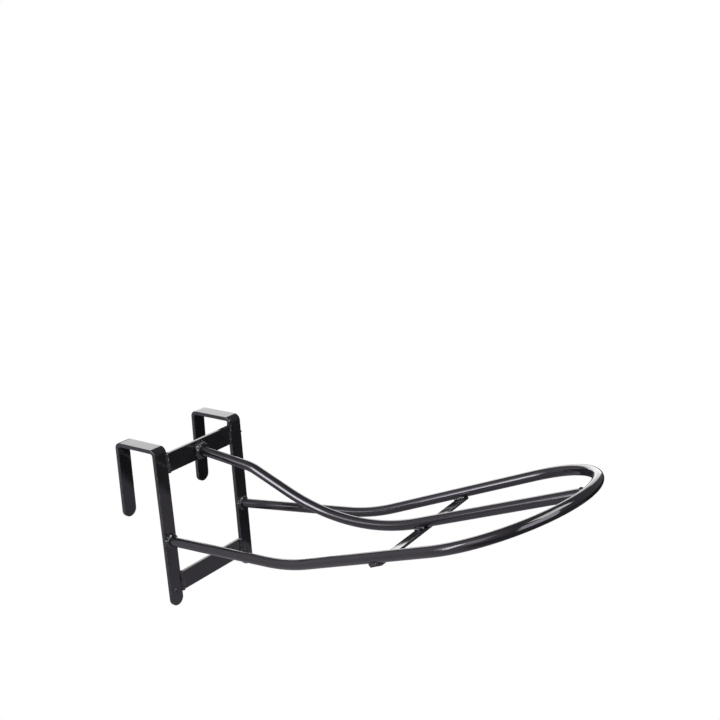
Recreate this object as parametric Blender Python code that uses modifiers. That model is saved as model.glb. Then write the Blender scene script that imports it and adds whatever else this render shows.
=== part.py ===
"""Saddle rack that hangs over the top of a door or a stall wall.

Two flat hook bars drop over the door and are joined by two crossbars. A loop of round bar stands
out from the hook bars and rises towards a broad nose. A centre spine of the same round bar starts
higher, at the upper crossbar, dips into the plane of the loop and runs up to the nose. A flat brace
ties the three round bars together from below, a few degrees off square. Weld beads join all of it.

Metres. +X points away from the door, +Y to the rack's left as seen from the door, +Z up. The origin
is on the middle plane, where the top edge of the door meets the door's face.
"""

import math

import bmesh
import bpy
from mathutils import Matrix, Vector
from mathutils.geometry import interpolate_bezier

MM = 0.001
CLEARANCE = 0.3 * MM
CUTTER_DEPTH = 20 * MM
MERGE_DISTANCE = 0.001 * MM

# Flat bars
BAR_THICKNESS = 5 * MM
LEG_WIDTH = 20 * MM
CROSSBAR_WIDTH = 25 * MM
BAR_EDGE = 0.7 * MM

# Hook bars
HOOK_SPACING = 136 * MM
DOOR_GAP = 59 * MM
FRONT_DROP = 206.5 * MM
BACK_DROP = 98 * MM
BACK_LEAN = math.radians(2)
INNER_BEND = 3 * MM
END_SLACK = 0.02 * MM
END_STEPS = 16
SCREW_HOLE = 5 * MM
SCREW_HOLE_HEIGHT = 21 * MM
SCREW_HOLE_SIDES = 20

# Crossbars, by the height of their top edges
UPPER_CROSSBAR_TOP = -5 * MM
LOWER_CROSSBAR_TOP = -165.5 * MM

# Round bar, and how finely its bends are drawn
ROD_RADIUS = 6 * MM
ROD_SIDES = 16
SQUARE_END = 1.5 * MM
BEND_TURN = math.radians(15)
BEND_CHORD = 9 * MM

# Loop: a low run out of the hook bars, a long bend, a widening rise, and the nose
LOOP_ROOT_HEIGHT = -117 * MM
LOOP_ROOT_RISE = math.radians(6.3)
LOOP_ROOT_FLARE = math.radians(4.1)
LOOP_ROOT_RUN = 200.5 * MM
LOOP_BEND_RADIUS = 250 * MM
LOOP_RISE = math.radians(21.2)
LOOP_FLARE = math.radians(7.1)
LOOP_SIDE = 220.5 * MM
NOSE_REACH = 118.5 * MM
NOSE_FULLNESS = 65 * MM
NOSE_STEPS = 22

# Spine: out of the upper crossbar, down, and up again in the plane of the loop
SPINE_ROOT_HEIGHT = -18.7 * MM
SPINE_ROOT_FALL = math.radians(5.1)
SPINE_ROOT_RUN = 83.5 * MM
SPINE_SHOULDER_RADIUS = 64 * MM
SPINE_LOW_REACH = 234.7 * MM
SPINE_LOW_RADIUS = 248 * MM

# Brace: its left end lies nearer the door than its right end
BRACE_REACH = 328 * MM
BRACE_SKEW = math.radians(-5)
BRACE_WIDTH = 15 * MM
BRACE_THICKNESS = 3 * MM
BRACE_OVERHANG = 3 * MM
BRACE_EDGE = 0.4 * MM

# Weld beads
BEAD_SIDES = 8
BEAD_RIPPLE = 0.08
BEAD_END = 0.55
SEAM_BEAD_RADIUS = 4 * MM
SEAM_BEAD_SINK = 2.4 * MM
SEAM_BEAD_RISE = 3 * MM
SEAM_BEAD_STEPS = 8
RING_BEAD_STEPS = 18
ROOT_BEAD_RADIUS = 4 * MM
SPINE_ROOT_BEAD_RADIUS = 5.5 * MM
TIP_BEAD_RADIUS = 2.6 * MM
BRACE_BEAD_RADIUS = 2.8 * MM
BRACE_BEAD_OFFSET = 4.8 * MM
BRACE_BEAD_STEPS = 5

FRONT_FACE = BAR_THICKNESS
ACROSS = Vector((0, 1, 0))
UP_THE_LOOP = Vector((math.cos(LOOP_RISE), 0, math.sin(LOOP_RISE)))
OFF_THE_LOOP = Vector((-math.sin(LOOP_RISE), 0, math.cos(LOOP_RISE)))
ALONG_BRACE = ACROSS * math.cos(BRACE_SKEW) + UP_THE_LOOP * math.sin(BRACE_SKEW)
COAT_COLOUR = (0.021, 0.020, 0.022, 1)


def clear_scene():
    for item in list(bpy.data.objects):
        bpy.data.objects.remove(item, do_unlink=True)


def new_collection(name):
    collection = bpy.data.collections.new(name)
    bpy.context.scene.collection.children.link(collection)
    return collection


def powder_coat(name, roughness):
    material = bpy.data.materials.new(name)
    material.use_nodes = True
    shader = material.node_tree.nodes["Principled BSDF"]
    shader.inputs["Base Color"].default_value = COAT_COLOUR
    shader.inputs["Roughness"].default_value = roughness
    shader.inputs["Metallic"].default_value = 0
    material.diffuse_color = COAT_COLOUR
    return material


def place(name, data, matrix=None):
    item = bpy.data.objects.new(name, data)
    item.matrix_world = matrix or Matrix.Identity(4)
    return item


def add_piece(item, material):
    PIECES.objects.link(item)
    item.data.materials.append(material)
    return item


def add_cutter(item):
    CUTTERS.objects.link(item)
    item.hide_render = True
    item.display_type = "WIRE"
    return item


def cut(item, cutter):
    modifier = item.modifiers.new("cut " + cutter.name, "BOOLEAN")
    modifier.operation = "DIFFERENCE"
    modifier.solver = "EXACT"
    modifier.object = cutter


def round_edges(item, width):
    modifier = item.modifiers.new("edges", "BEVEL")
    modifier.width = width
    modifier.segments = 1
    modifier.limit_method = "ANGLE"
    modifier.angle_limit = math.radians(40)


def shade(item, angle=30):
    item.data.shade_smooth()
    item.data.set_sharp_from_angle(angle=math.radians(angle))


def as_matrix(place_at, columns):
    """A placement with these three directions for the local X, Y and Z."""
    return Matrix.Translation(place_at) @ Matrix(columns).transposed().to_4x4()


def box_mesh(name, size):
    mesh = bpy.data.meshes.new(name)
    shape = bmesh.new()
    bmesh.ops.create_cube(shape, size=1, matrix=Matrix.Diagonal((*size, 1)))
    shape.to_mesh(mesh)
    shape.free()
    return mesh


def cylinder_mesh(name, radius, length, sides):
    mesh = bpy.data.meshes.new(name)
    shape = bmesh.new()
    bmesh.ops.create_cone(
        shape, cap_ends=True, segments=sides, radius1=radius, radius2=radius, depth=length
    )
    shape.to_mesh(mesh)
    shape.free()
    return mesh


def as_mesh(curve_item):
    """The same shape as a welded mesh object, not yet in a collection. The curve goes away."""
    bpy.context.scene.collection.objects.link(curve_item)
    graph = bpy.context.evaluated_depsgraph_get()
    mesh = bpy.data.meshes.new_from_object(curve_item.evaluated_get(graph))
    name = curve_item.name
    matrix = curve_item.matrix_world.copy()
    bpy.data.objects.remove(curve_item, do_unlink=True)
    shape = bmesh.new()
    shape.from_mesh(mesh)
    bmesh.ops.remove_doubles(shape, verts=shape.verts, dist=MERGE_DISTANCE)
    bmesh.ops.recalc_face_normals(shape, faces=shape.faces)
    shape.to_mesh(mesh)
    shape.free()
    return place(name, mesh, matrix)


def plate_curve(name, outline, thickness, matrix):
    """A flat plate with the given outline in its local XY plane, thick along its local Z."""
    curve = bpy.data.curves.new(name, "CURVE")
    curve.dimensions = "2D"
    curve.fill_mode = "BOTH"
    curve.extrude = thickness / 2
    spline = curve.splines.new("POLY")
    spline.points.add(len(outline) - 1)
    for point, (x, y) in zip(spline.points, outline):
        point.co = (x, y, 0, 1)
    spline.use_cyclic_u = True
    return place(name, curve, matrix)


def rod_curve(name, route, radius, sides=ROD_SIDES, swell=None, closed=False):
    """A round bar along the route. swell scales its radius at each point."""
    curve = bpy.data.curves.new(name, "CURVE")
    curve.dimensions = "3D"
    curve.bevel_depth = radius
    curve.bevel_resolution = sides // 2 - 2
    curve.use_fill_caps = not closed
    spline = curve.splines.new("POLY")
    spline.points.add(len(route) - 1)
    for number, point in enumerate(route):
        spline.points[number].co = (*point, 1)
        spline.points[number].radius = swell[number] if swell else 1
    spline.use_cyclic_u = closed
    return place(name, curve)


def bend(before, corner, after, radius):
    """Points along the arc that rounds a corner, from one tangent point to the other."""
    arriving = (before - corner).normalized()
    leaving = (after - corner).normalized()
    turn = math.pi - arriving.angle(leaving)
    setback = radius * math.tan(turn / 2)
    centre = corner + (arriving + leaving).normalized() * radius / math.cos(turn / 2)
    start = corner + arriving * setback - centre
    end = corner + leaving * setback - centre
    steps = math.ceil(max(turn / BEND_TURN, radius * turn / BEND_CHORD))
    points = []
    for step in range(steps + 1):
        angle = turn * step / steps
        spoke = (start * math.sin(turn - angle) + end * math.sin(angle)) / math.sin(turn)
        points.append(centre + spoke)
    return points


def heading(rise, flare=0.0):
    flat = math.cos(flare)
    return Vector((math.cos(rise) * flat, math.sin(flare), math.sin(rise) * flat))


def loop_corner():
    """Where the low run of the loop's left side would meet its rise, without the bend."""
    root = Vector((FRONT_FACE, HOOK_SPACING / 2, LOOP_ROOT_HEIGHT))
    return root + heading(LOOP_ROOT_RISE, LOOP_ROOT_FLARE) * LOOP_ROOT_RUN


def spine_plane_point(reach):
    """The point of the loop's sloping plane at this reach from the door, on the middle plane."""
    corner = loop_corner()
    return Vector((reach, 0, corner.z + (reach - corner.x) * math.tan(LOOP_RISE)))


def nose_tip():
    shoulder = loop_corner() + heading(LOOP_RISE, LOOP_FLARE) * LOOP_SIDE
    tip = shoulder + UP_THE_LOOP * NOSE_REACH
    return Vector((tip.x, 0, tip.z))


def root_points(across, height):
    """A rod's first two points: it leaves the front face squarely before it turns."""
    root = Vector((FRONT_FACE + CLEARANCE, across, height))
    return [root, root + Vector((SQUARE_END, 0, 0))]


def left_side_route():
    """The loop's centre line from its left root to the tip of the nose."""
    ends = root_points(HOOK_SPACING / 2, LOOP_ROOT_HEIGHT)
    corner = loop_corner()
    side = heading(LOOP_RISE, LOOP_FLARE)
    shoulder = corner + side * LOOP_SIDE
    tip = nose_tip()
    nose = interpolate_bezier(
        shoulder,
        shoulder + side * NOSE_FULLNESS,
        tip + ACROSS * NOSE_FULLNESS,
        tip,
        NOSE_STEPS,
    )
    return ends + bend(ends[0], corner, shoulder, LOOP_BEND_RADIUS) + nose


def mirrored(route):
    return [Vector((point.x, -point.y, point.z)) for point in route]


def loop_route():
    left = left_side_route()
    return left[:-1] + mirrored(left)[::-1]


def spine_route():
    ends = root_points(0, SPINE_ROOT_HEIGHT)
    shoulder = ends[0] + heading(-SPINE_ROOT_FALL) * SPINE_ROOT_RUN
    low = spine_plane_point(SPINE_LOW_REACH)
    tip = nose_tip() - UP_THE_LOOP * (ROD_RADIUS + 2 * CLEARANCE)
    first = bend(ends[0], shoulder, low, SPINE_SHOULDER_RADIUS)
    second = bend(shoulder, low, tip, SPINE_LOW_RADIUS)
    return ends + first + second + [tip]


def back_leg():
    """The corner where the back leg starts and its direction, on the middle of its thickness."""
    half = BAR_THICKNESS / 2
    corner = Vector((-DOOR_GAP - half, 0, half))
    return corner, Vector((-math.sin(BACK_LEAN), 0, -math.cos(BACK_LEAN)))


def hook_face(offset):
    """Side view of one face of a hook bar, this far outside the middle of its thickness."""
    half = BAR_THICKNESS / 2
    out_front = Vector((1, 0, 0))
    out_top = Vector((0, 0, 1))
    out_back = Vector((-math.cos(BACK_LEAN), 0, math.sin(BACK_LEAN)))
    front_corner = Vector((half, 0, half)) + (out_front + out_top) * offset
    back_corner, down = back_leg()
    toe = back_corner + down * (BACK_DROP + half) + out_back * offset
    mitre = (out_top + out_back) / (1 + out_top.dot(out_back))
    back_corner = back_corner + mitre * offset
    foot = Vector((half, 0, -FRONT_DROP)) + out_front * offset
    radius = INNER_BEND + half + offset
    front_bend = bend(foot, front_corner, back_corner, radius)
    back_bend = bend(front_corner, back_corner, toe, radius)
    return [foot] + front_bend + back_bend + [toe]


def hook_outline():
    half = BAR_THICKNESS / 2
    points = hook_face(half) + hook_face(-half)[::-1]
    return [(point.x, point.z) for point in points]


def end_trimmer(name, middle, up):
    """Cuts the half-round end of a leg: a block with a round hollow, centred on the end's round."""
    radius = LEG_WIDTH / 2 + END_SLACK
    reach = LEG_WIDTH
    hollow = []
    for step in range(END_STEPS + 1):
        angle = math.pi * step / END_STEPS
        hollow.append((radius * math.cos(angle), -radius * math.sin(angle)))
    outline = hollow + [(-reach, 0), (-reach, -reach), (reach, -reach), (reach, 0)]
    matrix = as_matrix(middle, (ACROSS, up, ACROSS.cross(up)))
    return add_cutter(as_mesh(plate_curve(name, outline, CUTTER_DEPTH, matrix)))


def make_hook_bar(side_name, side):
    across = ACROSS * side * HOOK_SPACING / 2
    half = BAR_THICKNESS / 2
    upright = Matrix.Rotation(math.radians(90), 4, "X")
    matrix = Matrix.Translation(across) @ upright
    name = side_name + "_hook_bar"
    hook = add_piece(as_mesh(plate_curve(name, hook_outline(), LEG_WIDTH, matrix)), COAT_FLAT)

    front_round = across + Vector((half, 0, LEG_WIDTH / 2 - FRONT_DROP))
    cut(hook, end_trimmer(side_name + "_front_end", front_round, Vector((0, 0, 1))))
    back_corner, down = back_leg()
    back_round = across + back_corner + down * (BACK_DROP + half - LEG_WIDTH / 2)
    cut(hook, end_trimmer(side_name + "_back_end", back_round, -down))

    hole_name = side_name + "_screw_hole"
    drill = cylinder_mesh(hole_name, SCREW_HOLE / 2, CUTTER_DEPTH, SCREW_HOLE_SIDES)
    hole_centre = across + Vector((half, 0, SCREW_HOLE_HEIGHT - FRONT_DROP))
    through = Matrix.Translation(hole_centre) @ Matrix.Rotation(math.radians(90), 4, "Y")
    cut(hook, add_cutter(place(hole_name, drill, through)))
    round_edges(hook, BAR_EDGE)
    shade(hook)


def make_crossbar(name, top):
    length = HOOK_SPACING - LEG_WIDTH - 2 * CLEARANCE
    mesh = box_mesh(name, (BAR_THICKNESS, length, CROSSBAR_WIDTH))
    centre = Vector((BAR_THICKNESS / 2, 0, top - CROSSBAR_WIDTH / 2))
    crossbar = add_piece(place(name, mesh, Matrix.Translation(centre)), COAT_FLAT)
    round_edges(crossbar, BAR_EDGE)
    shade(crossbar)


def brace_crossing(side):
    """Where the brace's middle line passes under one side of the loop, in the loop's plane."""
    corner = loop_corner()
    widening = math.tan(LOOP_FLARE)
    across = corner.y + widening * (BRACE_REACH - corner.x) / math.cos(LOOP_RISE)
    distance = across / (math.cos(BRACE_SKEW) - side * widening * math.sin(BRACE_SKEW))
    return spine_plane_point(BRACE_REACH) + ALONG_BRACE * side * distance


def brace_box(name, margin=0.0):
    """The brace's block: local X along its width, local Y along it, local Z off the loop."""
    left = brace_crossing(1)
    right = brace_crossing(-1)
    length = (left - right).length + 2 * BRACE_OVERHANG
    depth = ROD_RADIUS + CLEARANCE + BRACE_THICKNESS / 2
    middle = (left + right) / 2 - OFF_THE_LOOP * depth
    sides = [side + 2 * margin for side in (BRACE_WIDTH, length, BRACE_THICKNESS)]
    directions = (ALONG_BRACE.cross(OFF_THE_LOOP), ALONG_BRACE, OFF_THE_LOOP)
    return place(name, box_mesh(name, sides), as_matrix(middle, directions))


def make_brace():
    brace = add_piece(brace_box("cross_brace"), COAT_FLAT)
    round_edges(brace, BRACE_EDGE)
    shade(brace)


def ripple(count, ends):
    """Radius factors along a bead: a scale pattern, drawn in at the ends of an open one."""
    factors = [1 + BEAD_RIPPLE * (-1) ** number for number in range(count)]
    if ends:
        factors[0] *= BEAD_END
        factors[-1] *= BEAD_END
    return factors


def make_bead(name, route, radius, cutters, closed=False):
    swell = ripple(len(route), not closed)
    worm = rod_curve(name, route, radius, BEAD_SIDES, swell, closed)
    bead = add_piece(as_mesh(worm), COAT_WELD)
    for cutter in cutters:
        cut(bead, cutter)
    shade(bead, 60)


def straight(start, end, steps):
    return [start.lerp(end, step / steps) for step in range(steps + 1)]


def ring(centre, axis):
    """Points round a rod at its surface, where its end meets another bar."""
    side = axis.orthogonal().normalized() * ROD_RADIUS
    turn = 2 * math.pi / RING_BEAD_STEPS
    steps = range(RING_BEAD_STEPS)
    return [centre + Matrix.Rotation(turn * step, 3, axis) @ side for step in steps]


def make_seam_bead(name, side, top):
    """The bead down the front of a joint between a crossbar's end and a hook bar's edge."""
    across = side * (HOOK_SPACING - LEG_WIDTH) / 2
    depth = FRONT_FACE - SEAM_BEAD_SINK
    start = Vector((depth, across, top + SEAM_BEAD_RISE))
    end = Vector((depth, across, top - CROSSBAR_WIDTH))
    route = straight(start, end, SEAM_BEAD_STEPS)
    make_bead(name, route, SEAM_BEAD_RADIUS, [FLATS_CUTTER])


def make_root_bead(name, across, height, radius, rod_cutter):
    """The ring bead round a rod's end on the front face of a flat bar."""
    route = ring(Vector((FRONT_FACE, across, height)), Vector((1, 0, 0)))
    make_bead(name, route, radius, [FLATS_CUTTER, rod_cutter], closed=True)


def make_brace_bead(name, crossing, along, side, rod_cutter):
    """The fillet between a rod and the brace's upper face, on one side of the rod."""
    sideways = OFF_THE_LOOP.cross(along) * side
    depth = ROD_RADIUS - BRACE_BEAD_RADIUS / 2
    centre = crossing + sideways * BRACE_BEAD_OFFSET - OFF_THE_LOOP * depth
    half = along * (BRACE_WIDTH / 2 - BRACE_BEAD_RADIUS)
    route = straight(centre - half, centre + half, BRACE_BEAD_STEPS)
    make_bead(name, route, BRACE_BEAD_RADIUS, [rod_cutter, BRACE_CUTTER])


def make_tip_bead():
    """The ring bead where the spine's end meets the inner side of the nose."""
    centre = nose_tip() - UP_THE_LOOP * (ROD_RADIUS + CLEARANCE)
    route = ring(centre, UP_THE_LOOP)
    cutters = [SPINE_CUTTER, LOOP_CUTTER]
    make_bead("spine_tip_weld", route, TIP_BEAD_RADIUS, cutters, closed=True)


def flats_cutter():
    """Everything behind the front faces of the flat bars, with clearance."""
    mesh = box_mesh("behind_flats", (CUTTER_DEPTH, 2 * HOOK_SPACING, 2 * FRONT_DROP))
    centre = Vector((FRONT_FACE + CLEARANCE - CUTTER_DEPTH / 2, 0, -FRONT_DROP / 2))
    return add_cutter(place("behind_flats", mesh, Matrix.Translation(centre)))


def rod_cutter(name, route, roots):
    """A rod with clearance all round, carried on behind the front face at its roots."""
    for number in roots:
        route[number].x -= BAR_THICKNESS
    return add_cutter(as_mesh(rod_curve(name, route, ROD_RADIUS + CLEARANCE)))


clear_scene()
PIECES = new_collection("saddle_rack")
CUTTERS = new_collection("cutters")
COAT_FLAT = powder_coat("flat_bar_coat", 0.28)
COAT_ROUND = powder_coat("round_bar_coat", 0.24)
COAT_WELD = powder_coat("weld_coat", 0.3)
FLATS_CUTTER = flats_cutter()
BRACE_CUTTER = add_cutter(brace_box("brace_clearance", CLEARANCE))
LOOP_CUTTER = rod_cutter("loop_clearance", loop_route(), (0, -1))
SPINE_CUTTER = rod_cutter("spine_clearance", spine_route(), (0,))

SIDES = {"left": 1, "right": -1}
CROSSBARS = {"upper": UPPER_CROSSBAR_TOP, "lower": LOWER_CROSSBAR_TOP}
for side_name, side in SIDES.items():
    make_hook_bar(side_name, side)
for crossbar_name, top in CROSSBARS.items():
    make_crossbar(crossbar_name + "_crossbar", top)
add_piece(rod_curve("saddle_loop", loop_route(), ROD_RADIUS), COAT_ROUND)
add_piece(rod_curve("centre_spine", spine_route(), ROD_RADIUS), COAT_ROUND)
make_brace()

for side_name, side in SIDES.items():
    for crossbar_name, top in CROSSBARS.items():
        make_seam_bead(side_name + "_" + crossbar_name + "_crossbar_weld", side, top)
    root_name = side_name + "_loop_root_weld"
    across = side * HOOK_SPACING / 2
    make_root_bead(root_name, across, LOOP_ROOT_HEIGHT, ROOT_BEAD_RADIUS, LOOP_CUTTER)
    crossing = brace_crossing(side)
    along = heading(LOOP_RISE, side * LOOP_FLARE)
    make_brace_bead(side_name + "_brace_inner_weld", crossing, along, -side, LOOP_CUTTER)
    make_brace_bead(side_name + "_brace_outer_weld", crossing, along, side, LOOP_CUTTER)
    middle = spine_plane_point(BRACE_REACH)
    spine_bead_name = "spine_brace_" + side_name + "_weld"
    make_brace_bead(spine_bead_name, middle, UP_THE_LOOP, side, SPINE_CUTTER)
make_root_bead("spine_root_weld", 0, SPINE_ROOT_HEIGHT, SPINE_ROOT_BEAD_RADIUS, SPINE_CUTTER)
make_tip_bead()
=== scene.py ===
"""Looks of the door-hanging saddle rack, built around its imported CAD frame.

Metres, in the CAD frame: +X away from the door, +Y to the rack's left, +Z up.
"""

import math

import bpy
from mathutils import Matrix, Vector, noise
from mathutils.geometry import interpolate_bezier


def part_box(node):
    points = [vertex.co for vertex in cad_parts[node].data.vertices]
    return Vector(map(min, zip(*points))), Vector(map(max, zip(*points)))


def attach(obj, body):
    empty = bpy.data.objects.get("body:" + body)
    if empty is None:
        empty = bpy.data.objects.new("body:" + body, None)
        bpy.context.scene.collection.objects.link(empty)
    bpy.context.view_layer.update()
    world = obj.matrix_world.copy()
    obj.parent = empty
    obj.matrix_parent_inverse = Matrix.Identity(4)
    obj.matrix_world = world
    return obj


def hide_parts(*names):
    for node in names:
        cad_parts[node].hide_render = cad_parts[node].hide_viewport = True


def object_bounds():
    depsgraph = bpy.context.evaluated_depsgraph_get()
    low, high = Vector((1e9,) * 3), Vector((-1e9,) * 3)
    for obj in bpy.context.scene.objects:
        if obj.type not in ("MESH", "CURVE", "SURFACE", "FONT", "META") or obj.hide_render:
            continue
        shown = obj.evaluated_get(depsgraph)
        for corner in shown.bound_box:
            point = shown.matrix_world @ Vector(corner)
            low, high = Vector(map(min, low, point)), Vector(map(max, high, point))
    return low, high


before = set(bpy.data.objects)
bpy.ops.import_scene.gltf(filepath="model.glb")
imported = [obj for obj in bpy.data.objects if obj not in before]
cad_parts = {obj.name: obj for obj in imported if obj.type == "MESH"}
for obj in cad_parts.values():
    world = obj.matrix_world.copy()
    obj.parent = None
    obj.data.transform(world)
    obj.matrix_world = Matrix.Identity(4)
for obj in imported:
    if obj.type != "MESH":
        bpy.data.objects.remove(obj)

CAD_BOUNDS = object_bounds()
MM = 0.001

# Flat bars
BAR_THICKNESS = 5 * MM
BAR_EDGE = 0.9 * MM
DOOR_GAP = 59 * MM
BACK_DROP = 98 * MM
BACK_LEAN = math.radians(2)
MIDDLE_BEND = 5.5 * MM
BEND_STEPS = 16
HOOK_END_STEPS = 14
SCREW_HOLE = 5 * MM
SCREW_HOLE_HEIGHT = 21 * MM
SCREW_HOLE_EDGE = 0.5 * MM
DRILL_OVERRUN = 1 * MM
CROSSBAR_CORNER = 1 * MM
CORNER_STEPS = 4
EDGE_STEPS = 5
FACE_NORMAL_WEIGHT = 80

# Round bar
ROD_RADIUS = 6 * MM
ROD_SIDES = 40
ROD_END_RING = 0.2 * MM

# Loop
LOOP_ROOT_HEIGHT = -117 * MM
LOOP_ROOT_RISE = math.radians(6.3)
LOOP_ROOT_FLARE = math.radians(4.1)
LOOP_ROOT_RUN = 200.5 * MM
LOOP_BEND_RADIUS = 250 * MM
LOOP_BEND_STEPS = 20
LOOP_RISE = math.radians(21.2)
LOOP_FLARE = math.radians(7.1)
LOOP_SIDE = 220.5 * MM
NOSE_REACH = 118.5 * MM
NOSE_FULLNESS = 65 * MM
NOSE_STEPS = 48

# Spine
SPINE_ROOT_HEIGHT = -18.7 * MM
SPINE_ROOT_FALL = math.radians(5.1)
SPINE_ROOT_RUN = 83.5 * MM
SPINE_SHOULDER_RADIUS = 64 * MM
SPINE_SHOULDER_STEPS = 16
SPINE_LOW_REACH = 234.7 * MM
SPINE_LOW_RADIUS = 248 * MM
SPINE_LOW_STEPS = 28
SPINE_END_INSET = 0.8  # of the rod's radius, short of the nose's middle line

# Brace
BRACE_REACH = 328 * MM
BRACE_SKEW = math.radians(-5)
BRACE_WIDTH = 15 * MM
BRACE_THICKNESS = 3 * MM
BRACE_OVERHANG = 3 * MM
BRACE_EDGE = 0.5 * MM
BRACE_CORNER = 0.8 * MM
BRACE_GAP = 0.3 * MM

# Surface of every weld bead
BEAD_SIDES = 22
BEAD_STEP = 0.6 * MM
BEAD_LEAST_STEPS = 4
BEAD_END_AREA = 0.02
LUMP_SIZE = 4.5 * MM
LUMP_SHARE = 0.4
RIPPLE_SIZE = 1.9 * MM
RIPPLE_SHARE = 0.03

# Beads down the joints between crossbars and hook bars
SEAM_RADIUS = 2.9 * MM
SEAM_DEPTH = 0.4 * MM
SEAM_TOP_INSET = 0.4 * MM
SEAM_FOOT_INSET = 1.2 * MM
SEAM_FOOT_OVERRUN = 0.5 * MM
SEAM_RISES = {
    "left_upper": 9 * MM,
    "left_lower": 2 * MM,
    "right_upper": 2 * MM,
    "right_lower": 3 * MM,
}
SPATTER_RADIUS = 1.3 * MM
SPATTER_ACROSS = 20 * MM
SPATTER_HEIGHT = -19 * MM
SPATTER_HALF_LENGTH = 0.6  # of its radius
SPATTER_STEPS = 6

# Ring beads: radius, how far the ring is wider than the rod, how far it is off the face
LOOP_ROOT_RADIUS = 3.6 * MM
LOOP_ROOT_WIDENING = 0.3 * MM
LOOP_ROOT_LIFT = 0.3 * MM
SPINE_ROOT_RADIUS = 5 * MM
SPINE_ROOT_WIDENING = 0.8 * MM
SPINE_ROOT_LIFT = 0.5 * MM
TIP_RADIUS = 1.5 * MM
TIP_RING = 0.9  # of the rod's radius
TIP_LIFT = 0.15  # of the rod's radius

# Fillets between the rods and the brace
FILLET_RADIUS = 3 * MM
OUTER_FILLET_RADIUS = 2.2 * MM
FILLET_OFFSET = 1.6 * MM
FILLET_DEPTH = 5 * MM
FILLET_INSET = 0.5 * MM

# Where each kind of bead starts in the noise that makes its lumps
SEAM_SEED = 7.3
SPATTER_SEED = 4
LOOP_ROOT_SEED = 3.1
SPINE_ROOT_SEED = 9.4
TIP_SEED = 6.2
FILLET_SEED = 11.7
SPINE_FILLET_SEED = 21.3

# Points closer than this are one point
MERGE_DISTANCE = 0.002 * MM

# Coat. A pattern is a noise texture's scale, detail and roughness. A span is the part of the
# noise's range that counts, and shades are what its two ends multiply a tint or a roughness by.
COAT_IOR = 1.5
WORN_COLOUR = (0.035, 0.034, 0.036, 1)
TINT_PATTERN = (38, 4, 0.5)
TINT_SPAN = (0.3, 0.75)
TINT_SHADES = (0.75, 1.3)
WEAR_PATTERN = (210, 4, 0.6)
WEAR_SPAN = (0.46, 0.62)
GLOSS_PATTERN = (160, 5, 0.6)
GLOSS_SPAN = (0.3, 0.7)
GLOSS_SHADES = (0.75, 1.35)
WAVE_PATTERN = (90, 1, 0.5)
WAVE_HEIGHT = 0.05 * MM
PEEL_PATTERN = (420, 2, 0.5)
PEEL_HEIGHT = 0.02 * MM
WELD_PEEL_HEIGHT = 0.03 * MM
FLAT_TINT = (0.006, 0.0057, 0.0062)
ROUND_TINT = (0.006, 0.0057, 0.0064)
FLAT_ROUGHNESS = 0.07
ROUND_ROUGHNESS = 0.1
WELD_ROUGHNESS = 0.14

# Colours of the studio
SURROUNDINGS = (0.93, 0.87, 1.0, 1)
WHITE = (1, 1, 1, 1)
COOL = (0.94, 0.91, 1.0)
NEUTRAL = (0.98, 0.98, 0.96)

# Floor: how bright it is in reflections. Its glow falls beyond an edge line on the rack's left,
# rises towards the rack's right and falls beyond its nose. To the camera it is plain white.
FLOOR_SIZE = 2.5
FLOOR_DROP = 1 * MM
FLOOR_EDGE_POINT = Vector((0.18, 0.161, 0))
FLOOR_EDGE_NORMAL = Vector((-0.319, 0.948, 0))
FLOOR_EDGE_HALF = 5 * MM
FLOOR_EDGE_GLOW = (1, 0.1)
FLOOR_NEAR_STEP = (-0.05, 0.25)
FLOOR_NEAR_GLOW = (0.49, 0.9)
FLOOR_END_STEP = (0.4, 0.62)
FLOOR_END_GLOW = (1, 0.2)

# World: how bright it is in reflections, which rises towards its bright side
WORLD_BRIGHT_SIDE = Vector((-0.574, -0.819, 0))
WORLD_STEP = (0, 0.8)
WORLD_GLOW = (0.25, 1.0)

# Soft lights round a target: name, azimuth, elevation, distance, length, width, radiance, colour
TARGET = Vector((0.25, 0, -0.06))
PANELS = [
    ("key_panel", -114, 20, 2.2, 0.5, 1.3, 14, COOL),
    ("key_edge_panel", -128, 22, 2.2, 0.55, 0.8, 4, COOL),
    ("front_panel", -96, 33, 2.2, 1.6, 1.3, 2.3, COOL),
    ("nose_panel", -14, 17, 2.2, 1.6, 1.9, 5.2, COOL),
    ("nose_top_panel", 12, 56, 2.2, 1.4, 1.1, 10, NEUTRAL),
    ("back_panel", 120, 12, 5, 4, 3, 2.6, NEUTRAL),
]

# Camera
CAMERA_PLACE = Vector((0.91211, -0.90175, 0.44318))
CAMERA_RIGHT = Vector((0.78728, 0.61286, -0.06775))
CAMERA_DOWN = Vector((0.16149, -0.31100, -0.93659))
CAMERA_FORWARD = Vector((-0.59507, 0.72642, -0.34382))
SENSOR_WIDTH = 36
LENS = 53.934
SHIFT = (0.07741, 0.11829)
CLIP_START = 0.01

FRONT_FACE = BAR_THICKNESS
OUT_FROM_DOOR = Vector((1, 0, 0))
ACROSS = Vector((0, 1, 0))
UP_THE_LOOP = Vector((math.cos(LOOP_RISE), 0, math.sin(LOOP_RISE)))
OFF_THE_LOOP = Vector((-math.sin(LOOP_RISE), 0, math.cos(LOOP_RISE)))
ALONG_BRACE = ACROSS * math.cos(BRACE_SKEW) + UP_THE_LOOP * math.sin(BRACE_SKEW)
SIDES = {"left": 1, "right": -1}


# ---------------------------------------------------------------- material


def product(tree, first, second):
    node = tree.nodes.new("ShaderNodeMath")
    node.operation = "MULTIPLY"
    tree.links.new(first, node.inputs[0])
    tree.links.new(second, node.inputs[1])
    return node.outputs["Value"]


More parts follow.
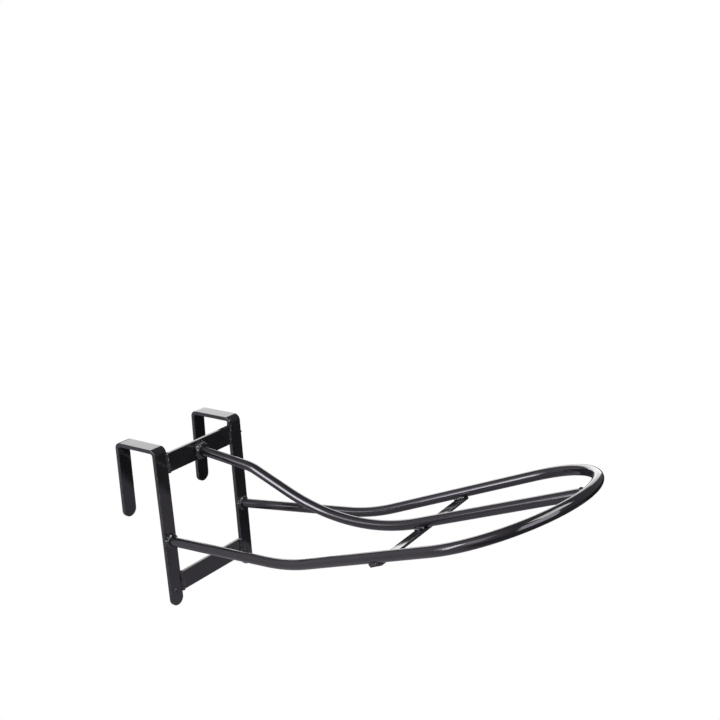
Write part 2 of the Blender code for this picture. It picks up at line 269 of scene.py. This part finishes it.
def coat(slot_name, tint, roughness, peel_height):
    """Black gloss powder coat: orange peel, slow waves, cloudy gloss, thinner over edges."""
    material = bpy.data.materials.new(slot_name)
    material["slot"] = slot_name
    material.use_nodes = True
    nodes = material.node_tree.nodes
    links = material.node_tree.links
    shader = nodes["Principled BSDF"]
    shader.inputs["IOR"].default_value = COAT_IOR
    place = nodes.new("ShaderNodeTexCoord").outputs["Object"]

    def cloud(scale, detail, rough):
        texture = nodes.new("ShaderNodeTexNoise")
        texture.inputs["Scale"].default_value = scale
        texture.inputs["Detail"].default_value = detail
        texture.inputs["Roughness"].default_value = rough
        links.new(place, texture.inputs["Vector"])
        return texture.outputs["Fac"]

    def spread(value, low, high, to_low, to_high):
        ranger = nodes.new("ShaderNodeMapRange")
        ranger.inputs["From Min"].default_value = low
        ranger.inputs["From Max"].default_value = high
        ranger.inputs["To Min"].default_value = to_low
        ranger.inputs["To Max"].default_value = to_high
        links.new(value, ranger.inputs["Value"])
        return ranger.outputs["Result"]

    colour = nodes.new("ShaderNodeValToRGB")
    for stop, position, shade in zip(colour.color_ramp.elements, TINT_SPAN, TINT_SHADES):
        stop.position = position
        stop.color = (*[shade * c for c in tint], 1)
    links.new(cloud(*TINT_PATTERN), colour.inputs["Fac"])

    edge = nodes.new("ShaderNodeAttribute")
    edge.attribute_name = "edge"
    patchy = spread(cloud(*WEAR_PATTERN), *WEAR_SPAN, 0, 1)
    worn = product(material.node_tree, edge.outputs["Fac"], patchy)
    mix = nodes.new("ShaderNodeMix")
    mix.data_type = "RGBA"
    mix.inputs[7].default_value = WORN_COLOUR
    links.new(worn, mix.inputs["Factor"])
    links.new(colour.outputs["Color"], mix.inputs[6])
    links.new(mix.outputs[2], shader.inputs["Base Color"])

    smooth, dull = [roughness * shade for shade in GLOSS_SHADES]
    gloss = spread(cloud(*GLOSS_PATTERN), *GLOSS_SPAN, smooth, dull)
    links.new(gloss, shader.inputs["Roughness"])
    slow = nodes.new("ShaderNodeBump")
    slow.inputs["Distance"].default_value = WAVE_HEIGHT
    links.new(cloud(*WAVE_PATTERN), slow.inputs["Height"])
    fine = nodes.new("ShaderNodeBump")
    fine.inputs["Distance"].default_value = peel_height
    links.new(cloud(*PEEL_PATTERN), fine.inputs["Height"])
    links.new(slow.outputs["Normal"], fine.inputs["Normal"])
    links.new(fine.outputs["Normal"], shader.inputs["Normal"])
    return material


FLAT_COAT = coat("flat_bar_coat", FLAT_TINT, FLAT_ROUGHNESS, PEEL_HEIGHT)
ROUND_COAT = coat("round_bar_coat", ROUND_TINT, ROUND_ROUGHNESS, PEEL_HEIGHT)
WELD_COAT = coat("weld_coat", ROUND_TINT, WELD_ROUGHNESS, WELD_PEEL_HEIGHT)


# ---------------------------------------------------------------- meshes


def new_piece(name, parts, material, replaced, edge=None):
    """A piece from (points, faces) parts. edge gives each point's share of rounded edge."""
    points, faces = [], []
    for part_points, part_faces in parts:
        first = len(points)
        points += part_points
        faces += [tuple(first + corner for corner in face) for face in part_faces]
    mesh = bpy.data.meshes.new(name)
    mesh.from_pydata([tuple(point) for point in points], [], faces)
    mesh.validate()
    mesh.shade_smooth()
    mesh.materials.append(material)
    if edge:
        shares = mesh.attributes.new("edge", "FLOAT", "POINT")
        shares.data.foreach_set("value", edge)
    item = bpy.data.objects.new(name, mesh)
    bpy.context.scene.collection.objects.link(item)
    weld = item.modifiers.new("weld", "WELD")
    weld.merge_threshold = MERGE_DISTANCE
    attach(item, "root")
    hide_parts(*replaced)
    return item


def arc(before, corner, after, radius, steps):
    """(point, outward) pairs along the arc that rounds a corner, between its tangent points."""
    arriving = (before - corner).normalized()
    leaving = (after - corner).normalized()
    turn = math.pi - arriving.angle(leaving)
    setback = radius * math.tan(turn / 2)
    centre = corner + (arriving + leaving).normalized() * radius / math.cos(turn / 2)
    start = corner + arriving * setback - centre
    end = corner + leaving * setback - centre
    pairs = []
    for step in range(steps + 1):
        angle = turn * step / steps
        spoke = (start * math.sin(turn - angle) + end * math.sin(angle)) / math.sin(turn)
        pairs.append((centre + spoke, spoke.normalized()))
    return pairs


def bend(before, corner, after, radius, steps):
    return [point for point, _ in arc(before, corner, after, radius, steps)]


def heading(rise, flare=0.0):
    flat = math.cos(flare)
    return Vector((math.cos(rise) * flat, math.sin(flare), math.sin(rise) * flat))


def tube(route, sides, reach, closed=False):
    """Points and faces of a tube along the route. reach(number, place) is its radius there."""
    count = len(route)
    points, faces = [], []
    side = None
    for number, centre in enumerate(route):
        if closed:
            along = route[(number + 1) % count] - route[number - 1]
        else:
            along = route[min(number + 1, count - 1)] - route[max(number - 1, 0)]
        along = along.normalized()
        side = side or along.orthogonal()
        side = (side - along * side.dot(along)).normalized()
        other = along.cross(side)
        for step in range(sides):
            angle = 2 * math.pi * step / sides
            spoke = side * math.cos(angle) + other * math.sin(angle)
            points.append(centre + spoke * reach(number, centre + spoke * ROD_RADIUS))
    rings = count if closed else count - 1
    for ring in range(rings):
        for step in range(sides):
            a = ring * sides + step
            b = ring * sides + (step + 1) % sides
            c = (ring + 1) % count * sides + (step + 1) % sides
            d = (ring + 1) % count * sides + step
            faces.append((a, b, c, d))
    if not closed:
        last = (count - 1) * sides
        faces.append(tuple(range(sides))[::-1])
        faces.append(tuple(range(last, last + sides)))
    return points, faces


def half_outline(length, width, corner, stations, steps):
    """One side of a bar's outline from end to end, as centre s, centre v, radius, angle rows."""
    side = width / 2 - corner
    rows = []
    for step in range(steps + 1):
        rows.append((corner, side, corner, math.pi - math.pi / 2 * step / steps))
    for s in stations:
        if corner < s < length - corner:
            rows.append((s, side, corner, math.pi / 2))
    for step in range(steps + 1):
        rows.append((length - corner, side, corner, math.pi / 2 * (1 - step / steps)))
    return rows


def plate_layers(thickness, edge):
    """(height, inset) rows from the lower face round the edge to the upper face."""
    half = thickness / 2
    lower = []
    for step in range(EDGE_STEPS + 1):
        angle = math.pi / 2 * step / EDGE_STEPS
        lower.append((-half + edge * (1 - math.cos(angle)), edge * (1 - math.sin(angle))))
    return lower + [(-height, inset) for height, inset in lower[::-1]]


def plate(name, place_at, rows, thickness, edge, material, replaced, hole=None):
    """A flat bar with a rounded edge. place_at(s, v, t) gives the point s along, v across, t up."""
    layers = plate_layers(thickness, edge)
    half_count = len(rows)
    count = 2 * half_count
    points, faces, shares = [], [], []
    for height, inset in layers:
        outline = []
        for centre_s, centre_v, radius, angle in rows:
            reach = radius - inset
            outline.append((centre_s + reach * math.cos(angle), centre_v + reach * math.sin(angle)))
        outline += [(s, -v) for s, v in outline[::-1]]
        points += [place_at(s, v, height) for s, v in outline]
        rounding = inset / edge
        shares += [4 * rounding * (1 - rounding)] * count
    for layer in range(len(layers) - 1):
        for number in range(count):
            a = layer * count + number
            b = layer * count + (number + 1) % count
            faces.append((a, b, b + count, a + count))
    top = (len(layers) - 1) * count
    for number in range(half_count - 1):
        cap = (number, number + 1, count - 2 - number, count - 1 - number)
        faces.append(cap[::-1])
        faces.append(tuple(top + corner for corner in cap))
    item = new_piece(name, [(points, faces)], material, replaced, shares)
    if hole:
        drill(item, hole)
    normals = item.modifiers.new("normals", "WEIGHTED_NORMAL")
    normals.weight = FACE_NORMAL_WEIGHT
    return item


def drill(item, centre):
    """Cuts a screw hole with softened rims through a bar that is thick along X."""
    radius = SCREW_HOLE / 2
    face = BAR_THICKNESS / 2
    profile = [
        (-face - DRILL_OVERRUN, radius + DRILL_OVERRUN + SCREW_HOLE_EDGE),
        (-face + SCREW_HOLE_EDGE, radius),
        (face - SCREW_HOLE_EDGE, radius),
        (face + DRILL_OVERRUN, radius + DRILL_OVERRUN + SCREW_HOLE_EDGE),
    ]
    route = [centre + Vector((offset, 0, 0)) for offset, _ in profile]
    points, faces = tube(route, ROD_SIDES, lambda number, _: profile[number][1])
    mesh = bpy.data.meshes.new("drill")
    mesh.from_pydata([tuple(point) for point in points], [], faces)
    mesh.shade_smooth()
    cutter = bpy.data.objects.new("drill", mesh)
    bpy.context.scene.collection.objects.link(cutter)
    cut = item.modifiers.new("drill", "BOOLEAN")
    cut.object = cutter
    cut.solver = "EXACT"
    graph = bpy.context.evaluated_depsgraph_get()
    item.data = bpy.data.meshes.new_from_object(item.evaluated_get(graph))
    item.modifiers.clear()
    bpy.data.objects.remove(cutter, do_unlink=True)


# ---------------------------------------------------------------- flat bars


def hook_bar(side_name):
    node = side_name + "_hook_bar"
    low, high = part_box(node)
    across = (low.y + high.y) / 2
    half = BAR_THICKNESS / 2
    foot = Vector((half, across, low.z))
    front_corner = Vector((half, across, half))
    back_corner = Vector((-DOOR_GAP - half, across, half))
    down = Vector((-math.sin(BACK_LEAN), 0, -math.cos(BACK_LEAN)))
    toe = back_corner + down * (BACK_DROP + half)
    pairs = [(foot, OUT_FROM_DOOR)]
    pairs += arc(foot, front_corner, back_corner, MIDDLE_BEND, BEND_STEPS)
    pairs += arc(front_corner, back_corner, toe, MIDDLE_BEND, BEND_STEPS)
    pairs.append((toe, Vector((-math.cos(BACK_LEAN), 0, math.sin(BACK_LEAN)))))
    marks = [0.0]
    for (first, _), (second, _) in zip(pairs, pairs[1:]):
        marks.append(marks[-1] + (second - first).length)

    def place_at(s, v, t):
        number = 0
        while number < len(pairs) - 2 and s > marks[number + 1]:
            number += 1
        share = (s - marks[number]) / (marks[number + 1] - marks[number])
        point = pairs[number][0].lerp(pairs[number + 1][0], share)
        outward = pairs[number][1].lerp(pairs[number + 1][1], share).normalized()
        return point + ACROSS * v + outward * t

    width = high.y - low.y
    rows = half_outline(marks[-1], width, width / 2, marks[1:-1], HOOK_END_STEPS)
    hole = Vector((half, across, low.z + SCREW_HOLE_HEIGHT))
    name = side_name + "_hook"
    plate(name, place_at, rows, BAR_THICKNESS, BAR_EDGE, FLAT_COAT, [node], hole)


def crossbar(name):
    low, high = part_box(name)
    centre = (low + high) / 2

    def place_at(s, v, t):
        return Vector((centre.x + t, low.y + s, centre.z + v))

    rows = half_outline(high.y - low.y, high.z - low.z, CROSSBAR_CORNER, [], CORNER_STEPS)
    plate(name + "_bar", place_at, rows, BAR_THICKNESS, BAR_EDGE, FLAT_COAT, [name])


# ---------------------------------------------------------------- round bars and brace


def loop_corner():
    low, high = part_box("left_hook_bar")
    root = Vector((FRONT_FACE, (low.y + high.y) / 2, LOOP_ROOT_HEIGHT))
    return root + heading(LOOP_ROOT_RISE, LOOP_ROOT_FLARE) * LOOP_ROOT_RUN


def spine_plane_point(reach):
    """The point of the loop's sloping plane at this reach from the door, on the middle plane."""
    corner = loop_corner()
    return Vector((reach, 0, corner.z + (reach - corner.x) * math.tan(LOOP_RISE)))


def nose_tip():
    shoulder = loop_corner() + heading(LOOP_RISE, LOOP_FLARE) * LOOP_SIDE
    tip = shoulder + UP_THE_LOOP * NOSE_REACH
    return Vector((tip.x, 0, tip.z))


def left_side_route():
    corner = loop_corner()
    root = corner - heading(LOOP_ROOT_RISE, LOOP_ROOT_FLARE) * LOOP_ROOT_RUN
    side = heading(LOOP_RISE, LOOP_FLARE)
    shoulder = corner + side * LOOP_SIDE
    tip = nose_tip()
    nose = interpolate_bezier(
        shoulder, shoulder + side * NOSE_FULLNESS, tip + ACROSS * NOSE_FULLNESS, tip, NOSE_STEPS
    )
    turn = bend(root, corner, shoulder, LOOP_BEND_RADIUS, LOOP_BEND_STEPS)
    return [root] + turn + nose


def loop_route():
    left = left_side_route()
    right = [Vector((point.x, -point.y, point.z)) for point in left]
    return left[:-1] + right[::-1]


def spine_route():
    root = Vector((FRONT_FACE, 0, SPINE_ROOT_HEIGHT))
    shoulder = root + heading(-SPINE_ROOT_FALL) * SPINE_ROOT_RUN
    low = spine_plane_point(SPINE_LOW_REACH)
    end = nose_tip() - UP_THE_LOOP * ROD_RADIUS * SPINE_END_INSET
    first = bend(root, shoulder, low, SPINE_SHOULDER_RADIUS, SPINE_SHOULDER_STEPS)
    second = bend(shoulder, low, end, SPINE_LOW_RADIUS, SPINE_LOW_STEPS)
    return [root] + first + second + [end]


def rod(name, route, node):
    """A round bar. Extra rings beside its ends keep the shading straight up to the end faces."""
    start = route[0] + (route[1] - route[0]).normalized() * ROD_END_RING
    end = route[-1] + (route[-2] - route[-1]).normalized() * ROD_END_RING
    route = [route[0], start] + route[1:-1] + [end, route[-1]]
    shape = tube(route, ROD_SIDES, lambda number, place: ROD_RADIUS)
    new_piece(name, [shape], ROUND_COAT, [node])


def brace_crossing(side):
    """Where the brace's middle line passes under one side of the loop, in the loop's plane."""
    corner = loop_corner()
    widening = math.tan(LOOP_FLARE)
    across = corner.y + widening * (BRACE_REACH - corner.x) / math.cos(LOOP_RISE)
    distance = across / (math.cos(BRACE_SKEW) - side * widening * math.sin(BRACE_SKEW))
    return spine_plane_point(BRACE_REACH) + ALONG_BRACE * side * distance


def brace():
    left = brace_crossing(1)
    right = brace_crossing(-1)
    length = (left - right).length + 2 * BRACE_OVERHANG
    depth = ROD_RADIUS + BRACE_GAP + BRACE_THICKNESS / 2
    start = right - ALONG_BRACE * BRACE_OVERHANG - OFF_THE_LOOP * depth
    widthwise = OFF_THE_LOOP.cross(ALONG_BRACE)

    def place_at(s, v, t):
        return start + ALONG_BRACE * s + widthwise * v + OFF_THE_LOOP * t

    rows = half_outline(length, BRACE_WIDTH, BRACE_CORNER, [], CORNER_STEPS)
    plate("brace_bar", place_at, rows, BRACE_THICKNESS, BRACE_EDGE, FLAT_COAT, ["cross_brace"])


# ---------------------------------------------------------------- weld beads


def bead(route, radius, seed, closed=False):
    """A lumpy, rippled worm of weld metal along the route, drawn in at its open ends."""
    lengths = [(second - first).length for first, second in zip(route, route[1:])]
    marks = [sum(lengths[:number]) for number in range(len(route))]
    offset = Vector((seed, 2 * seed, 3 * seed))

    def reach(number, place):
        lump = noise.noise(place / LUMP_SIZE + offset)
        ripple = math.sin(2 * math.pi * marks[number] / RIPPLE_SIZE + 2 * lump)
        swell = 1 + LUMP_SHARE * lump + RIPPLE_SHARE * ripple
        if closed:
            return radius * swell
        from_end = min(marks[number], marks[-1] - marks[number])
        missing = max(0, 1 - from_end / radius)
        return radius * swell * math.sqrt(max(BEAD_END_AREA, 1 - missing ** 2))

    return tube(route, BEAD_SIDES, reach, closed)


def straight(start, end):
    steps = max(BEAD_LEAST_STEPS, round((end - start).length / BEAD_STEP))
    return [start.lerp(end, step / steps) for step in range(steps + 1)]


def ring(centre, radius, axis, lift=0.0):
    """A circle about the axis. lift raises it along the axis above and below the middle."""
    steps = round(2 * math.pi * radius / BEAD_STEP)
    side = axis.cross(ACROSS).normalized()
    points = []
    for step in range(steps):
        angle = 2 * math.pi * step / steps
        spoke = ACROSS * math.cos(angle) + side * math.sin(angle)
        points.append(centre + spoke * radius + axis * lift * math.sin(angle) ** 2)
    return points


def spatter(centre):
    half = ACROSS * SPATTER_RADIUS * SPATTER_HALF_LENGTH
    steps = range(SPATTER_STEPS + 1)
    route = [centre - half + 2 * half * step / SPATTER_STEPS for step in steps]
    return bead(route, SPATTER_RADIUS, SPATTER_SEED)


def seam_beads():
    """The beads down the fronts of the joints between crossbars and hook bars."""
    depth = FRONT_FACE - SEAM_DEPTH
    for number, (name, rise) in enumerate(SEAM_RISES.items()):
        side_name, level = name.split("_")
        side = SIDES[side_name]
        low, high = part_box(level + "_crossbar")
        edge = high.y if side > 0 else low.y
        start = Vector((depth, edge - side * SEAM_TOP_INSET, high.z + rise))
        end = Vector((depth, edge - side * SEAM_FOOT_INSET, low.z - SEAM_FOOT_OVERRUN))
        parts = [bead(straight(start, end), SEAM_RADIUS, SEAM_SEED + number)]
        if name == "left_upper":
            parts.append(spatter(Vector((FRONT_FACE, high.y + SPATTER_ACROSS, SPATTER_HEIGHT))))
        node = name + "_crossbar_weld"
        new_piece(name + "_seam_bead", parts, WELD_COAT, [node])


def root_beads():
    """The ring beads where the round bars stand on the front faces of the flat bars."""
    for number, side_name in enumerate(SIDES):
        low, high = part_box(side_name + "_hook_bar")
        centre = Vector((FRONT_FACE + LOOP_ROOT_LIFT, (low.y + high.y) / 2, LOOP_ROOT_HEIGHT))
        route = ring(centre, ROD_RADIUS + LOOP_ROOT_WIDENING, OUT_FROM_DOOR)
        node = side_name + "_loop_root_weld"
        shape = bead(route, LOOP_ROOT_RADIUS, LOOP_ROOT_SEED + number, closed=True)
        new_piece(side_name + "_root_bead", [shape], WELD_COAT, [node])
    centre = Vector((FRONT_FACE + SPINE_ROOT_LIFT, 0, SPINE_ROOT_HEIGHT))
    route = ring(centre, ROD_RADIUS + SPINE_ROOT_WIDENING, OUT_FROM_DOOR)
    shape = bead(route, SPINE_ROOT_RADIUS, SPINE_ROOT_SEED, closed=True)
    new_piece("spine_root_bead", [shape], WELD_COAT, ["spine_root_weld"])


def tip_bead():
    """The ring bead where the spine meets the nose, bent to the nose's round."""
    centre = nose_tip() - UP_THE_LOOP * ROD_RADIUS
    route = ring(centre, TIP_RING * ROD_RADIUS, UP_THE_LOOP, lift=TIP_LIFT * ROD_RADIUS)
    shape = bead(route, TIP_RADIUS, TIP_SEED, closed=True)
    new_piece("spine_tip_bead", [shape], WELD_COAT, ["spine_tip_weld"])


def fillet(name, node, crossing, along, side, seed, radius):
    """The bead between a rod and the brace's upper face, on one side of the rod."""
    sideways = OFF_THE_LOOP.cross(along) * side
    centre = crossing + sideways * (radius + FILLET_OFFSET) - OFF_THE_LOOP * FILLET_DEPTH
    half = along * (BRACE_WIDTH / 2 - FILLET_INSET)
    shape = bead(straight(centre - half, centre + half), radius, seed)
    new_piece(name, [shape], WELD_COAT, [node])


def fillets():
    for number, (side_name, side) in enumerate(SIDES.items()):
        crossing = brace_crossing(side)
        along = heading(LOOP_RISE, side * LOOP_FLARE)
        for place, way in {"inner": -side, "outer": side}.items():
            name = side_name + "_brace_" + place
            seed = FILLET_SEED + 3 * number + way
            radius = FILLET_RADIUS if place == "inner" else OUTER_FILLET_RADIUS
            fillet(name + "_bead", name + "_weld", crossing, along, way, seed, radius)
        middle = spine_plane_point(BRACE_REACH)
        name = "spine_brace_" + side_name
        seed = SPINE_FILLET_SEED + side
        fillet(name + "_bead", name + "_weld", middle, UP_THE_LOOP, side, seed, FILLET_RADIUS)


for side_name in SIDES:
    hook_bar(side_name)
crossbar("upper_crossbar")
crossbar("lower_crossbar")
rod("loop_rod", loop_route(), "saddle_loop")
rod("spine_rod", spine_route(), "centre_spine")
brace()
seam_beads()
root_beads()
tip_bead()
fillets()


# ---------------------------------------------------------------- stage


def emission(tree, strength):
    node = tree.nodes.new("ShaderNodeEmission")
    node.inputs["Strength"].default_value = strength
    return node


def seen_or_reflected(tree, seen, reflected, shader_name):
    """One look for the camera and another for what the rack reflects."""
    path = tree.nodes.new("ShaderNodeLightPath")
    mix = tree.nodes.new("ShaderNodeMixShader")
    tree.links.new(path.outputs["Is Camera Ray"], mix.inputs[0])
    tree.links.new(reflected.outputs[shader_name], mix.inputs[1])
    tree.links.new(seen.outputs[shader_name], mix.inputs[2])
    return mix


def step_along(tree, place, normal, start, end, near, far):
    """A value that goes from near to far where place passes between two distances."""
    dot = tree.nodes.new("ShaderNodeVectorMath")
    dot.operation = "DOT_PRODUCT"
    dot.inputs[1].default_value = normal
    tree.links.new(place, dot.inputs[0])
    ranger = tree.nodes.new("ShaderNodeMapRange")
    ranger.interpolation_type = "SMOOTHSTEP"
    ranger.inputs["From Min"].default_value = start
    ranger.inputs["From Max"].default_value = end
    ranger.inputs["To Min"].default_value = near
    ranger.inputs["To Max"].default_value = far
    tree.links.new(dot.outputs["Value"], ranger.inputs["Value"])
    return ranger.outputs["Result"]


def make_floor():
    """A floor that is white to the camera and shaded in reflections."""
    level = CAD_BOUNDS[0][2] - FLOOR_DROP
    size = FLOOR_SIZE
    corners = [(-size, -size), (size, -size), (size, size), (-size, size)]
    mesh = bpy.data.meshes.new("floor")
    mesh.from_pydata([(x, y, level) for x, y in corners], [], [(0, 1, 2, 3)])
    material = bpy.data.materials.new("floor_white")
    material.use_nodes = True
    tree = material.node_tree
    tree.nodes.clear()
    place = tree.nodes.new("ShaderNodeNewGeometry").outputs["Position"]
    edge_at = FLOOR_EDGE_NORMAL.dot(FLOOR_EDGE_POINT)
    edge_step = (edge_at - FLOOR_EDGE_HALF, edge_at + FLOOR_EDGE_HALF)
    far = step_along(tree, place, FLOOR_EDGE_NORMAL, *edge_step, *FLOOR_EDGE_GLOW)
    near = step_along(tree, place, -ACROSS, *FLOOR_NEAR_STEP, *FLOOR_NEAR_GLOW)
    beyond = step_along(tree, place, OUT_FROM_DOOR, *FLOOR_END_STEP, *FLOOR_END_GLOW)
    glow = product(tree, product(tree, far, near), beyond)
    reflected = emission(tree, 1)
    reflected.inputs["Color"].default_value = SURROUNDINGS
    tree.links.new(glow, reflected.inputs["Strength"])
    mix = seen_or_reflected(tree, emission(tree, 1), reflected, "Emission")
    out = tree.nodes.new("ShaderNodeOutputMaterial")
    tree.links.new(mix.outputs["Shader"], out.inputs["Surface"])
    mesh.materials.append(material)
    floor = bpy.data.objects.new("floor", mesh)
    bpy.context.scene.collection.objects.link(floor)


def make_world():
    """A background that is white to the camera and shaded in reflections."""
    world = bpy.data.worlds.new("studio")
    bpy.context.scene.world = world
    world.use_nodes = True
    tree = world.node_tree
    tree.nodes.clear()
    place = tree.nodes.new("ShaderNodeTexCoord").outputs["Generated"]
    level = step_along(tree, place, WORLD_BRIGHT_SIDE, *WORLD_STEP, *WORLD_GLOW)
    around = tree.nodes.new("ShaderNodeBackground")
    around.inputs["Color"].default_value = SURROUNDINGS
    tree.links.new(level, around.inputs["Strength"])
    seen = tree.nodes.new("ShaderNodeBackground")
    seen.inputs["Color"].default_value = WHITE
    mix = seen_or_reflected(tree, seen, around, "Background")
    out = tree.nodes.new("ShaderNodeOutputWorld")
    tree.links.new(mix.outputs["Shader"], out.inputs["Surface"])


def direction(azimuth, elevation):
    a, e = math.radians(azimuth), math.radians(elevation)
    return Vector((math.cos(e) * math.cos(a), math.cos(e) * math.sin(a), math.sin(e)))


def soft_box(name, centre, long_axis, length, width, radiance, colour):
    """A rectangular soft light facing the rack. Its long side lies along long_axis."""
    data = bpy.data.lights.new(name, "AREA")
    data.shape = "RECTANGLE"
    data.size = length
    data.size_y = width
    data.energy = radiance * math.pi * length * width
    data.color = colour
    item = bpy.data.objects.new(name, data)
    towards = (TARGET - centre).normalized()
    x_axis = (long_axis - towards * long_axis.dot(towards)).normalized()
    y_axis = (-towards).cross(x_axis)
    turn = Matrix((x_axis, y_axis, -towards)).transposed().to_4x4()
    item.matrix_world = Matrix.Translation(centre) @ turn
    item.visible_camera = False
    bpy.context.scene.collection.objects.link(item)


def make_lights():
    for name, azimuth, elevation, distance, length, width, radiance, colour in PANELS:
        centre = TARGET + direction(azimuth, elevation) * distance
        level = direction(azimuth + 90, 0)
        soft_box(name, centre, level, length, width, radiance, colour)


def make_camera():
    data = bpy.data.cameras.new("camera")
    data.sensor_width = SENSOR_WIDTH
    data.lens = LENS
    data.shift_x, data.shift_y = SHIFT
    data.clip_start = CLIP_START
    data.dof.use_dof = False
    item = bpy.data.objects.new("camera", data)
    turn = Matrix((CAMERA_RIGHT, -CAMERA_DOWN, -CAMERA_FORWARD)).transposed().to_4x4()
    item.matrix_world = Matrix.Translation(CAMERA_PLACE) @ turn
    bpy.context.scene.collection.objects.link(item)
    bpy.context.scene.camera = item


make_floor()
make_world()
make_lights()
make_camera()
bpy.context.scene.view_settings.view_transform = "Standard"
